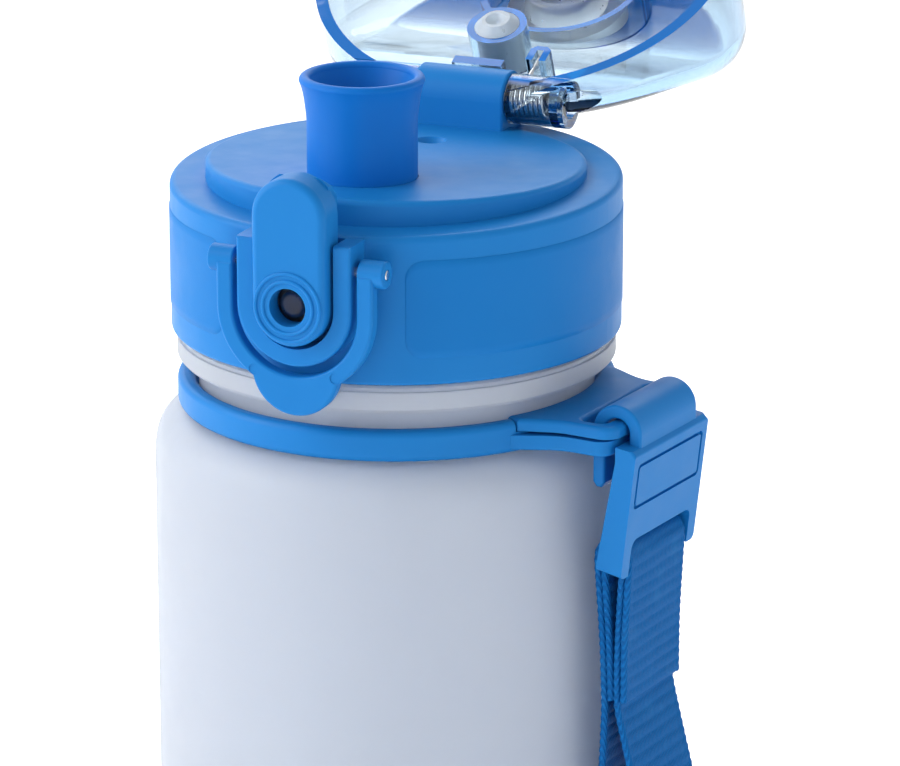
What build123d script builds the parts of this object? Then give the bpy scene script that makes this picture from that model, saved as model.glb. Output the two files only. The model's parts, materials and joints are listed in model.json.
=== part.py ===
from build123d import *
import os
from math import cos, pi, radians, sin

# Sports squeeze bottle with a screw cap, a drinking spout under a sprung clear cover,
# a push button latch with a lock bail, and a carry ring with a hanging webbing loop.
# Row frame: +Z up, origin at the middle of the flat base, button at -Y, cover hinge at +Y.
# The parts below are drawn with z = 0 at the cap's lower edge and are lifted by CAP_Z.

# ---- Driving dimensions, mm ----
CAP_Z = 170.0            # height of the cap's lower edge above the base
BODY_R = 36.8            # bottle wall
NECK_R = 30.0
BEAD_R = 33.2            # transfer bead under the cap
FINISH_R = 27.4          # threaded mouth, without its thread
MOUTH_R = 25.5           # bore of the mouth
MOUTH_TOP = 14.2
WALL = 1.8
BASE_ROUND = 6.0

CAP_R = 34.0
CAP_WALL_R = 32.1        # inside of the cap's outer wall
SHOULDER_Z = 23.2        # height of the tilted shoulder at the axis
SHOULDER_TILT = 0.028    # rise per mm towards the hinge
PLATEAU_R = 28.6
PLATEAU_Z = 25.45
PLATEAU_TILT = -0.03
DECK_UNDER = 20.6        # underside of the deck at the shoulder
PLATEAU_UNDER = 22.9

LINER_R = 31.95
LINER_BORE = 29.8
LINER_DISC_LOW = 16.4
LINER_DISC_TOP = 18.4

THREAD_LEAD = 8.0
THREAD_HEIGHT = 1.9
THREAD_ROOT = 2.6
THREAD_CREST = 1.4
THREAD_START = 3.6
THREAD_TURNS = 1.02
THREAD_OFFSET = 2.5      # the cap's thread sits this far under the bottle's thread

SPOUT_Y = -12.7
SPOUT_R = 8.2
SPOUT_BORE = 5.5
LIP_R = 8.45             # middle of the rounded lip
LIP_ROUND = 0.85
LIP_Z = 40.3
VENT_Y = 13.5

HINGE_Y = 28.0
HINGE_Z = 29.0
KNUCKLE_HALF = 7.5
KNUCKLE_R = 4.3
BARREL_R = 3.9           # the cover's hinge barrels
BARREL_IN = 7.7
BARREL_OUT = 17.2
HINGE_PIN_R = 1.0
STOPPER_R = 9.7
STOPPER_TIP_Z = 37.5     # the stopper's nose reaches down into the spout
STOPPER_NOSE = (6.1, 6.9)
OPEN_ANGLE = 156.0       # from closed to the open stop

COVER_R = 33.4
COVER_WALL = 1.9
COVER_RIM_GAP = 0.2
COVER_ROUND = 5.0        # dome's outer corner
SWING_R_IN = 4.15        # the skirt behind the hinge clears the raised deck between the steps,
SWING_R_OUT = 4.75       # and the lower shoulder outside them
SWING_STEP = 11.6
COVER_SEAT = 0.02        # the stoppers stop just short of the dome's underside
GUARD_OUT = 13.6         # ring that stands round the spout's lip
GUARD_IN = 12.5
GUARD_RIM_Z = 36.8
VENT_TUBE_OUT = 4.75
VENT_TUBE_IN = 3.6
VENT_TUBE_Z = 26.4
CATCH_HALF = 6.4         # recess with the ledge that the button's hook holds
CATCH_FRONT = -31.9
CATCH_BACK = -30.0
CATCH_TOP = 32.0
LEDGE_HALF = 4.2
LEDGE_FRONT = -33.1
LEDGE_Z = (24.1, 25.6)
SPRING_POCKET_R = 3.05   # room for the spring in its barrel
BARREL_HOLE_R = 2.4      # opening in that barrel's outer end
PIN_BLIND_END = -17.0    # the hinge pin's bore is blind at the other end
CLIP_X = (8.1, 9.2, 10.3, 11.4)   # walls of the clip that holds the spring's leg
CLIP_BACK = HINGE_Y - 9.2
CLIP_FRONT = HINGE_Y - 5.6
CLIP_LOW = HINGE_Z - 3.4
STOP_RIB_HALF = 4.1
STOP_RIB_Y = (21.4, 23.2)
STOP_RIB_Z = 26.9

PIN_Y = -35.7            # latch pin, shared by the button and the lock bail
PIN_Z = 17.9
PIN_R = 0.75
PIN_HALF = 13.9
BOSS_HALF = 9.0
BOSS_INNER = 6.35
BOSS_FRONT = -38.0
BOSS_TOP = 22.0
BOSS_BOTTOM_CENTRE = 12.3
POCKET_BACK = -33.3
BUTTON_HALF = 5.8
BUTTON_FRONT = -40.0
BUTTON_BACK = -35.0
BUTTON_LOW = 6.7
BUTTON_HIGH = 31.7
BUTTON_BORE_Z = 12.7
BUTTON_BORE_R = 2.85

BAIL_INNER = 9.8
BAIL_OUTER = 12.3
BAIL_FRONT = -37.8
BAIL_BACK = -35.9
BAIL_CENTRE_Z = 11.5     # centre of the U bend
BAIL_TAB_R = 6.8
BAIL_TAB_Z = 2.6

RING_IN = 30.5
RING_OUT = 33.2
RING_LOW = -12.0
RING_HIGH = -7.2
TAB_TURN = -8.0          # the carry tab's direction from +X, degrees
TAB_HALF = 12.6
UPPER_LOW = -8.65
UPPER_HIGH = -6.85
LOWER_LOW = -11.5
LOWER_HIGH = -9.15
RING_END_ANGLE = 23.4    # where the ring stops on each side of the tab
PLATE_NEAR_ANGLE = 26.8  # where a plate starts above or below the ring's other end
PLATE_PAST_ANGLE = 29.0  # where it runs into its own end of the ring
PLATE_GAP = 0.12
TAB_NECK = 35.5          # where the plates reach their full width
TAB_NECK_ROUND = 9.0

HOOK_U = 42.8            # centre of the hook's bend, in the tab's own directions
HOOK_Z = -8.4
HOOK_IN = 2.0
HOOK_OUT = 4.0
HOOK_HALF = 8.8
TONGUE_LOW = -17.4
BUCKLE_HALF = 11.4
BUCKLE_FACE_TOP = (47.4, -10.9)   # front face of the slab, which leans in towards the bottle
BUCKLE_FACE_LOW = (45.1, -30.2)
BUCKLE_BACK_TOP = (44.0, -12.2)
BUCKLE_BACK_LOW = (40.8, -29.4)
BUCKLE_TOP_EDGE = ((44.0, -9.9), (46.7, -10.2))
PANEL_WIDE = 20.2        # framed panel on the slab's face
PANEL_TALL = 7.2
PANEL_DROP = 5.1         # panel's middle, down the face from its top
PANEL_GROOVE = 0.55
WINDOW_HALF = 9.1
WINDOW_TOP = -24.6
BAR_U = 42.15            # webbing bar
BAR_Z = -28.2
BAR_R = 0.9

WEB_HALF = 8.7
WEB_EYE_R = 3.2
WEB_STACK = (40.0, 45.0)
WEB_STACK_LOW = -52.0
LOOP_U = 49.0
LOOP_Z = -124.0
LOOP_R = 10.0
LOOP_THICK = 1.3

RUNNING = 0.05           # radial clearance of a turning pin
UP = (Align.CENTER, Align.CENTER, Align.MIN)
TALL = 60.0              # reaches past everything in the cap group


def tube(r_out, r_in, low, high):
    """A plain ring about the Z axis."""
    return Pos(0, 0, low) * (Cylinder(r_out, high - low, align=UP) - Cylinder(r_in, high - low, align=UP))


def disc(r, low, high, x=0.0, y=0.0):
    return Pos(x, y, low) * Cylinder(r, high - low, align=UP)


def block(x0, x1, y0, y1, z0, z1):
    corner = (Align.MIN, Align.MIN, Align.MIN)
    return Pos(x0, y0, z0) * Box(x1 - x0, y1 - y0, z1 - z0, align=corner)


def rod_x(r, x0, x1, y, z):
    """A round bar along X."""
    return Pos((x0 + x1) / 2, y, z) * Rot(0, 90, 0) * Cylinder(r, x1 - x0)


def rod_y(r, y0, y1, x, z):
    """A round bar along Y."""
    return Pos(x, (y0 + y1) / 2, z) * Rot(90, 0, 0) * Cylinder(r, y1 - y0)


def shoulder_plane(lift=0.0):
    return Plane(origin=(0, 0, SHOULDER_Z + lift), z_dir=(0, -SHOULDER_TILT, 1))


def turned(*curves):
    """A solid of revolution from outline curves drawn on the XZ plane."""
    return revolve(Plane.XZ * make_face(Curve() + list(curves)), Axis.Z)


def thread_ridge(wall_r, inward, z_start, start_angle, turns):
    """A trapezoid thread standing out of a wall (or into the bore, when inward)."""
    way = -1 if inward else 1
    path = Helix(THREAD_LEAD, THREAD_LEAD * turns, wall_r)
    root, crest = THREAD_ROOT / 2, THREAD_CREST / 2
    section = make_face(
        Polyline((-0.4 * way, -root), (THREAD_HEIGHT * way, -crest), (THREAD_HEIGHT * way, crest),
                 (-0.4 * way, root), close=True)
    )
    at_start = Plane(origin=path @ 0, x_dir=(1, 0, 0), z_dir=path % 0)
    ridge = sweep(at_start * section, path=path, is_frenet=True)
    return Pos(0, 0, z_start) * Rot(0, 0, start_angle) * ridge


# ---- Bottle ----
def bottle_body():
    base = -CAP_Z
    shoulder_low = -21.0
    neck_low = -12.4
    outer = [
        Line((0, base), (BODY_R - BASE_ROUND, base)),
        RadiusArc((BODY_R - BASE_ROUND, base), (BODY_R, base + BASE_ROUND), -BASE_ROUND),
        Line((BODY_R, base + BASE_ROUND), (BODY_R, shoulder_low)),
        Spline((BODY_R, shoulder_low), (35.3, -14.6), (NECK_R + 0.6, neck_low),
               tangents=((0, 1), (-1, 0.12))),
        Line((NECK_R + 0.6, neck_low), (NECK_R, neck_low + 0.6)),
        Line((NECK_R, neck_low + 0.6), (NECK_R, -4.9)),
        Line((NECK_R, -4.9), (BEAD_R - 0.5, -4.46)),
        Line((BEAD_R - 0.5, -4.46), (BEAD_R, -3.9)),
        Line((BEAD_R, -3.9), (BEAD_R, -1.3)),
        Line((BEAD_R, -1.3), (BEAD_R - 0.35, -1.2)),
        Line((BEAD_R - 0.35, -1.2), (BEAD_R - 0.35, -0.7)),
        Line((BEAD_R - 0.35, -0.7), (BEAD_R - 0.7, -0.4)),
        Line((BEAD_R - 0.7, -0.4), (FINISH_R, -0.4)),
        Line((FINISH_R, -0.4), (FINISH_R, MOUTH_TOP - 0.5)),
        RadiusArc((FINISH_R, MOUTH_TOP - 0.5), (FINISH_R - 0.5, MOUTH_TOP), -0.5),
        Line((FINISH_R - 0.5, MOUTH_TOP), (0, MOUTH_TOP)),
        Line((0, MOUTH_TOP), (0, base)),
    ]
    in_r = BODY_R - WALL
    in_base = base + 2.6
    in_round = BASE_ROUND - WALL
    inner = [
        Line((0, in_base), (in_r - in_round, in_base)),
        RadiusArc((in_r - in_round, in_base), (in_r, in_base + in_round), -in_round),
        Line((in_r, in_base + in_round), (in_r, -22.6)),
        Spline((in_r, -22.6), (32.9, -16.2), (28.2, -12.6), (MOUTH_R, -8.0),
               tangents=((0, 1), (0, 1))),
        Line((MOUTH_R, -8.0), (MOUTH_R, MOUTH_TOP + 1)),
        Line((MOUTH_R, MOUTH_TOP + 1), (0, MOUTH_TOP + 1)),
        Line((0, MOUTH_TOP + 1), (0, in_base)),
    ]
    body = turned(*outer) - turned(*inner)
    body += thread_ridge(FINISH_R, False, THREAD_START, 0, THREAD_TURNS)
    stacking_groove = tube(27.0, 22.0, base - 1, base + 0.8)
    notch = block(-1.1, 1.1, -BEAD_R - 1, -BEAD_R + 0.5, -3.6, -1.5)
    return body - stacking_groove - Rot(0, 0, -7) * notch


# ---- Cap ----
def boss_outline(half, top):
    """The U of the latch boss on the XZ plane, closed across its top."""
    return make_face(Plane.XZ * (
        Curve() + [
            Line((half, top), (half, BOSS_BOTTOM_CENTRE)),
            RadiusArc((half, BOSS_BOTTOM_CENTRE), (0, BOSS_BOTTOM_CENTRE - half), half),
            RadiusArc((0, BOSS_BOTTOM_CENTRE - half), (-half, BOSS_BOTTOM_CENTRE), half),
            Line((-half, BOSS_BOTTOM_CENTRE), (-half, top)),
            Line((-half, top), (half, top)),
        ]))


def prism_y(face, y0, y1):
    """Extrude a face of the XZ plane so that it spans y0 to y1."""
    return Pos(0, y1, 0) * extrude(face, y1 - y0, dir=(0, -1, 0))


def cap_body():
    shell = split(disc(CAP_R, 0, TALL), bisect_by=shoulder_plane(), keep=Keep.BOTTOM)
    shell = fillet(shell.edges().group_by(Axis.Z)[-1], 1.0)
    shell = fillet(shell.edges().group_by(Axis.Z)[0], 0.6)
    top_plane = Plane(origin=(0, 0, PLATEAU_Z), z_dir=(0, -PLATEAU_TILT, 1))
    plateau = split(disc(PLATEAU_R, 10, TALL), bisect_by=top_plane, keep=Keep.BOTTOM)
    plateau = fillet(plateau.edges().group_by(Axis.Z)[-1], 0.8)
    shell += plateau
    shell -= disc(CAP_WALL_R, -1, DECK_UNDER)
    shell -= disc(PLATEAU_R - 2.2, DECK_UNDER - 1, PLATEAU_UNDER)

    boss = prism_y(boss_outline(BOSS_HALF, BOSS_TOP), BOSS_FRONT, -32.4)
    boss = fillet(boss.faces().sort_by(Axis.Y)[0].outer_wire().edges(), 0.5)
    shell += boss
    shell -= prism_y(boss_outline(BOSS_INNER, SHOULDER_Z + 3), BOSS_FRONT - 1, POCKET_BACK)
    shell -= rod_x(PIN_R + 0.02, -BOSS_HALF - 1, BOSS_HALF + 1, PIN_Y, PIN_Z)

    post = block(-KNUCKLE_HALF, KNUCKLE_HALF, HINGE_Y - KNUCKLE_R, HINGE_Y + KNUCKLE_R, 22.5, HINGE_Z)
    knuckle = post + rod_x(KNUCKLE_R, -KNUCKLE_HALF, KNUCKLE_HALF, HINGE_Y, HINGE_Z)
    ends = knuckle.faces().sort_by(Axis.X)
    rims = [e for f in (ends[0], ends[-1]) for e in f.edges() if e.center().Z > 23]
    shell += fillet(rims, 0.4)
    shell -= rod_x(HINGE_PIN_R + 0.02, -KNUCKLE_HALF - 1, KNUCKLE_HALF + 1, HINGE_Y, HINGE_Z)
    shell -= rod_x(3.2, KNUCKLE_HALF - 3.2, KNUCKLE_HALF + 1, HINGE_Y, HINGE_Z)

    shell += disc(3.6, LINER_DISC_TOP + 1.1, PLATEAU_UNDER + 0.5, y=VENT_Y)
    shell -= disc(1.5, 10, TALL, y=VENT_Y)
    vent_top = PLATEAU_Z + PLATEAU_TILT * VENT_Y
    shell -= Pos(0, VENT_Y, vent_top - 0.9) * Cone(1.5, 2.7, 1.2, align=UP)
    return shell - disc(SPOUT_R + 0.1, 10, TALL, y=SPOUT_Y)


def cap_liner():
    liner = tube(LINER_R, LINER_BORE, 1.0, LINER_DISC_TOP) + disc(LINER_R, LINER_DISC_LOW, LINER_DISC_TOP)
    start = 90
    z = THREAD_START - THREAD_OFFSET + THREAD_LEAD * start / 360
    liner += thread_ridge(LINER_BORE, True, z, start, THREAD_TURNS)
    liner -= disc(SPOUT_BORE + 0.1, 10, TALL, y=SPOUT_Y)
    return liner - disc(2.5, 10, TALL, y=VENT_Y)


def cap_gasket():
    return tube(LINER_BORE - 0.2, MOUTH_R - 0.7, MOUTH_TOP + 0.05, LINER_DISC_LOW)


def spout_seal():
    return Pos(0, SPOUT_Y, 0) * tube(10.2, SPOUT_BORE + 0.1, LINER_DISC_TOP, LINER_DISC_TOP + 0.8)


def spout():
    flange_low = LINER_DISC_TOP + 0.8
    waist = 33.5
    outline = [
        Line((SPOUT_BORE, flange_low), (10.4, flange_low)),
        Line((10.4, flange_low), (10.4, DECK_UNDER)),
        Line((10.4, DECK_UNDER), (SPOUT_R, DECK_UNDER)),
        Line((SPOUT_R, DECK_UNDER), (SPOUT_R, waist)),
        Spline((SPOUT_R, waist), (SPOUT_R + 0.25, 36.6), (LIP_R + LIP_ROUND, LIP_Z),
               tangents=((0, 1), (0.45, 1))),
        RadiusArc((LIP_R + LIP_ROUND, LIP_Z), (LIP_R, LIP_Z + LIP_ROUND), -LIP_ROUND),
        RadiusArc((LIP_R, LIP_Z + LIP_ROUND), (LIP_R - LIP_ROUND, LIP_Z), -LIP_ROUND),
        Spline((LIP_R - LIP_ROUND, LIP_Z), (6.3, 37.0), (SPOUT_BORE, 30.0),
               tangents=((-0.35, -1), (0, -1))),
        Line((SPOUT_BORE, 30.0), (SPOUT_BORE, flange_low)),
    ]
    return Pos(0, SPOUT_Y, 0) * turned(*outline)


def vent_valve():
    valve = disc(3.6, LINER_DISC_TOP, LINER_DISC_TOP + 1.0) + disc(2.4, 14.0, LINER_DISC_TOP)
    valve -= disc(0.9, 14.8, LINER_DISC_TOP + 2)
    return Pos(0, VENT_Y, 0) * (valve - block(-1.6, 1.6, -0.1, 0.1, 13, 15))


# ---- Latch ----
def latch_pin():
    return fillet(rod_x(PIN_R, -PIN_HALF, PIN_HALF, PIN_Y, PIN_Z).edges(), 0.2)


def latch_button():
    height = BUTTON_HIGH - BUTTON_LOW
    middle = (BUTTON_HIGH + BUTTON_LOW) / 2
    face = Plane.XZ * Pos(0, middle) * SlotOverall(height, 2 * BUTTON_HALF, rotation=90)
    button = prism_y(face, BUTTON_FRONT, BUTTON_BACK)
    button = fillet(button.faces().sort_by(Axis.Y)[0].edges(), 1.1)
    button += rod_x(1.9, -BUTTON_HALF, BUTTON_HALF, PIN_Y, PIN_Z)
    hook_side = make_face(Plane.YZ * Polyline(
        (BUTTON_BACK - 0.5, 25.8), (-32.5, 25.8), (-32.5, 27.9), (BUTTON_BACK - 0.5, 31.2), close=True))
    hook = Pos(-4.6, 0, 0) * extrude(hook_side, 9.2, dir=(1, 0, 0))
    button += hook & rod_y(BUTTON_HALF + 0.3, -40, -30, 0, BUTTON_HIGH - BUTTON_HALF)
    for r in (3.9, 5.05):
        button += Pos(0, BUTTON_FRONT + 0.02, BUTTON_BORE_Z) * Rot(90, 0, 0) * Torus(r, 0.3)
    button -= rod_y(BUTTON_BORE_R, BUTTON_FRONT - 1, -36.4, 0, BUTTON_BORE_Z)
    button -= rod_y(2.1, -37, -30, 0, BUTTON_BORE_Z)
    return button - rod_x(PIN_R + RUNNING, -8, 8, PIN_Y, PIN_Z)


def button_plug():
    """Clear silicone return plug seen down the button's bore."""
    stem = rod_y(2.05, -38.3, -34.4, 0, BUTTON_BORE_Z)
    stem = fillet(stem.edges().group_by(Axis.Y)[0], 0.8)
    return stem + rod_y(BUTTON_BORE_R - 0.05, -36.4 - 0.7, -36.4, 0, BUTTON_BORE_Z)


def lock_bail():
    def u_face(half, low):
        return make_face(Plane.XZ * (Curve() + [
            Line((half, PIN_Z), (half, BAIL_CENTRE_Z)),
            RadiusArc((half, BAIL_CENTRE_Z), (0, low), half),
            RadiusArc((0, low), (-half, BAIL_CENTRE_Z), half),
            Line((-half, BAIL_CENTRE_Z), (-half, PIN_Z)),
            Line((-half, PIN_Z), (half, PIN_Z)),
        ]))
    outer = prism_y(u_face(BAIL_OUTER, BAIL_CENTRE_Z - BAIL_OUTER), BAIL_FRONT, BAIL_BACK)
    outer += rod_y(BAIL_TAB_R, BAIL_FRONT, BAIL_BACK, 0, BAIL_TAB_Z)
    gap = prism_y(u_face(BAIL_INNER, BAIL_CENTRE_Z - BAIL_INNER), BAIL_FRONT - 1, BAIL_BACK + 1)
    bail = outer - gap - block(-20, 20, -45, -30, PIN_Z, PIN_Z + 20)
    bail -= block(-BAIL_INNER, BAIL_INNER, -45, -30, BAIL_CENTRE_Z, PIN_Z + 20)
    bail = fillet(bail.faces().sort_by(Axis.Y)[0].edges(), 0.45)
    for side in (-1, 1):
        ends = sorted((side * BAIL_INNER, side * (PIN_HALF - 0.1)))
        ear = rod_x(2.0, ends[0], ends[1], PIN_Y, PIN_Z)
        bail += fillet(ear.edges(), 0.3)
        bail -= rod_y(0.8, BAIL_FRONT - 1, BAIL_FRONT + 0.12, side * 6.4, 2.2)
    return bail - rod_x(PIN_R + RUNNING, -20, 20, PIN_Y, PIN_Z)


# ---- Clear cover, drawn closed ----
COVER_REACH = 34.5       # the profile runs past the cover's wall on both sides
COVER_TOP = [
    (COVER_REACH, 29.6), (25.0, 33.0), (VENT_Y, 36.2), (0, 42.4),
    (SPOUT_Y, 45.6), (-25.0, 45.0), (-COVER_REACH, 41.0),
]


def dome(r, drop, rounding):
    """The filled wedge-shaped dome: low at the hinge and high over the spout."""
    low = 5.0
    top = Spline(*[(y, z - drop) for y, z in COVER_TOP])
    side = make_face(Plane.YZ * (Curve() + [
        top,
        Line(top @ 1, (-COVER_REACH, low)),
        Line((-COVER_REACH, low), (COVER_REACH, low)),
        Line((COVER_REACH, low), top @ 0),
    ]))
    solid = disc(r, 10, TALL) & Pos(-36, 0, 0) * extrude(side, 72, dir=(1, 0, 0))
    rim = [e for e in solid.edges() if e.center().Z > 26 and e.length > 40]
    return fillet(rim, rounding)


def cover_inside():
    """What stands inside the dome: vent tube, guard ring, stop rib and the spring's clip."""
    inside = Pos(0, VENT_Y, 0) * tube(VENT_TUBE_OUT, VENT_TUBE_IN, VENT_TUBE_Z, TALL)
    inside += Pos(0, SPOUT_Y, 0) * tube(GUARD_OUT, GUARD_IN, GUARD_RIM_Z, TALL)
    inside += block(-STOP_RIB_HALF, STOP_RIB_HALF, *STOP_RIB_Y, STOP_RIB_Z, TALL)
    clip = block(CLIP_X[0], CLIP_X[3], CLIP_BACK, CLIP_FRONT, CLIP_LOW, TALL)
    clip -= block(CLIP_X[1], CLIP_X[2], CLIP_BACK + 1.0, CLIP_FRONT + 1, CLIP_LOW - 1, TALL)
    corners = [e for e in clip.edges().filter_by(Axis.Z) if e.center().Y < CLIP_BACK + 0.1]
    return inside + chamfer(corners, 0.8)


def cover_skirt_limit():
    """All that lies behind the hinge axis and would strike the cap as the cover swings."""
    swing = rod_x(SWING_R_IN, -SWING_STEP, SWING_STEP, HINGE_Y, HINGE_Z)
    swing += rod_x(SWING_R_OUT, SWING_STEP, 40, HINGE_Y, HINGE_Z)
    swing += rod_x(SWING_R_OUT, -40, -SWING_STEP, HINGE_Y, HINGE_Z)
    return block(-40, 40, HINGE_Y, 60, 0, TALL) - swing


def cover_closed():
    outer = dome(COVER_R, 0, COVER_ROUND)
    inner = dome(COVER_R - COVER_WALL, COVER_WALL, COVER_ROUND - 1.6)
    cover = outer - inner + (cover_inside() & outer)
    cover -= block(-CATCH_HALF, CATCH_HALF, -40, CATCH_FRONT, 20, CATCH_TOP)
    cover += block(-CATCH_HALF, CATCH_HALF, CATCH_FRONT, CATCH_BACK, 20, CATCH_TOP + 1.5) & outer
    cover += block(-LEDGE_HALF, LEDGE_HALF, LEDGE_FRONT, CATCH_FRONT + 0.4, *LEDGE_Z)
    cover = split(cover, bisect_by=shoulder_plane(COVER_RIM_GAP), keep=Keep.TOP)
    cover -= cover_skirt_limit()
    for side in (-1, 1):
        ends = sorted((side * BARREL_IN, side * BARREL_OUT))
        cover += rod_x(BARREL_R, ends[0], ends[1], HINGE_Y, HINGE_Z)
    cover -= block(-BARREL_IN, BARREL_IN, HINGE_Y - KNUCKLE_R - 0.4, 60, 0, TALL)
    cover -= rod_x(SPRING_POCKET_R, BARREL_IN - 1, BARREL_OUT - 2.4, HINGE_Y, HINGE_Z)
    cover -= rod_x(BARREL_HOLE_R, BARREL_OUT - 1.2, TALL, HINGE_Y, HINGE_Z)
    cover -= block(CLIP_X[1], CLIP_X[2], CLIP_FRONT, HINGE_Y, HINGE_Z - 3.0, HINGE_Z - 1.8)
    return cover - rod_x(HINGE_PIN_R + RUNNING, PIN_BLIND_END, TALL, HINGE_Y, HINGE_Z)


def under_dome():
    """The room under the dome, which trims the top of both stoppers."""
    return dome(COVER_R - COVER_WALL - COVER_SEAT, COVER_WALL + COVER_SEAT, COVER_ROUND - 1.6)


def spout_stopper():
    disc_low = LIP_Z + LIP_ROUND + 0.15
    nose_long = disc_low - STOPPER_TIP_Z
    stopper = disc(STOPPER_R, disc_low, TALL, y=SPOUT_Y) & under_dome()
    nose = Cone(*STOPPER_NOSE, nose_long, align=UP)
    nose = fillet(nose.edges().group_by(Axis.Z)[0], 0.5)
    stopper += Pos(0, SPOUT_Y, STOPPER_TIP_Z) * nose
    return stopper - Pos(0, SPOUT_Y, STOPPER_TIP_Z - 1.0) * Sphere(STOPPER_NOSE[0] - 1.0)


def vent_stopper():
    tip = PLATEAU_Z + PLATEAU_TILT * VENT_Y + 0.12
    plug = disc(VENT_TUBE_IN - 0.1, tip + 1.2, TALL, y=VENT_Y) & under_dome()
    nose = Pos(0, VENT_Y, tip) * Cone(2.2, VENT_TUBE_IN - 0.1, 1.2, align=UP)
    return plug + nose - Pos(0, VENT_Y, tip - 1.0) * Sphere(1.9)


def hinge_pin():
    return fillet(rod_x(HINGE_PIN_R, PIN_BLIND_END + 0.1, BARREL_OUT - 1.4, HINGE_Y, HINGE_Z).edges(), 0.2)


def hinge_spring():
    coil_r, wire_r, pitch = 2.35, 0.38, 0.81
    first, last = 8.2, 13.87
    path = Helix(pitch, last - first, coil_r)
    section = Plane(origin=path @ 0, x_dir=(1, 0, 0), z_dir=path % 0) * Circle(wire_r)
    coil = sweep(section, path=path, is_frenet=True)
    coil = Pos(first, HINGE_Y, HINGE_Z) * Rot(0, 90, 0) * coil
    tang = rod_x(wire_r, first - 3.4, first + 0.2, HINGE_Y, HINGE_Z - coil_r)
    leg_x = 9.75
    leg = rod_y(wire_r, HINGE_Y - 7.8, HINGE_Y, leg_x, HINGE_Z - coil_r)
    return coil + tang + leg


def opened(shape):
    """Turn a piece of the cover from closed to the open stop."""
    return Pos(0, HINGE_Y, HINGE_Z) * Rot(-OPEN_ANGLE, 0, 0) * Pos(0, -HINGE_Y, -HINGE_Z) * shape


# ---- Carry ring, buckle and webbing, drawn with the tab along +X ----
def polar(r, degrees):
    return (r * cos(radians(degrees)), r * sin(radians(degrees)))


def plate(low, high, start, stop, outer_edge, slot_in, slot_out):
    """One of the tab's two plates, from the ring's edge out to the bar."""
    inner_r = RING_IN + 0.1
    outline = make_face(Curve() + [
        ThreePointArc(polar(inner_r, start), polar(inner_r, (start + stop) / 2), polar(inner_r, stop)),
        Line(polar(inner_r, stop), polar(RING_OUT, stop)),
        Line(polar(RING_OUT, stop), (TAB_NECK, TAB_HALF)),
        Line((TAB_NECK, TAB_HALF), (outer_edge, TAB_HALF)),
        Line((outer_edge, TAB_HALF), (outer_edge, -TAB_HALF)),
        Line((outer_edge, -TAB_HALF), (TAB_NECK, -TAB_HALF)),
        Line((TAB_NECK, -TAB_HALF), polar(RING_OUT, start)),
        Line(polar(RING_OUT, start), polar(inner_r, start)),
    ])
    corners = [v for v in outline.vertices() if v.X > outer_edge - 0.1]
    outline = fillet(corners, 2.6)
    necks = [v for v in outline.vertices() if abs(v.X - TAB_NECK) < 0.01]
    outline = fillet(necks, TAB_NECK_ROUND)
    slot = Pos((slot_in + slot_out) / 2, 0) * RectangleRounded(slot_out - slot_in, 20.6, 1.2)
    return Pos(0, 0, low) * extrude(outline - slot, high - low)


def ring_gap(start, stop, low, high):
    """Room for a plate over or under the ring's end, as a slice of a tube."""
    section = Plane.XZ * Pos((RING_IN + RING_OUT) / 2, (low + high) / 2) * \
        Rectangle(RING_OUT - RING_IN + 2, high - low)
    return Rot(0, 0, start) * revolve(section, Axis.Z, stop - start)


def carry_ring():
    section = Plane.XZ * Pos((RING_IN + RING_OUT) / 2, (RING_LOW + RING_HIGH) / 2) * \
        RectangleRounded(RING_OUT - RING_IN, RING_HIGH - RING_LOW, 1.1)
    ring = Rot(0, 0, RING_END_ANGLE) * revolve(section, Axis.Z, 360 - 2 * RING_END_ANGLE)
    beside = PLATE_NEAR_ANGLE + 0.5
    ring -= ring_gap(-beside, -RING_END_ANGLE + 1, UPPER_LOW - PLATE_GAP, RING_HIGH + 1)
    ring -= ring_gap(RING_END_ANGLE - 1, beside, RING_LOW - 1, LOWER_HIGH + PLATE_GAP)
    upper = plate(UPPER_LOW, UPPER_HIGH, -PLATE_NEAR_ANGLE, PLATE_PAST_ANGLE, 44.2, 37.5, 41.5)
    lower = plate(LOWER_LOW, LOWER_HIGH, -PLATE_PAST_ANGLE, PLATE_NEAR_ANGLE, 43.3, 37.3, 41.9)
    upper = fillet(upper.faces().sort_by(Axis.Z)[-1].edges(), 0.75)
    lower = fillet(lower.faces().sort_by(Axis.Z)[0].edges(), 0.6)
    return ring + upper + lower


def prism_v(face, half):
    """Extrude a face of the tab's side plane evenly to both sides."""
    return Pos(0, half, 0) * extrude(face, 2 * half, dir=(0, -1, 0))


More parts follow.
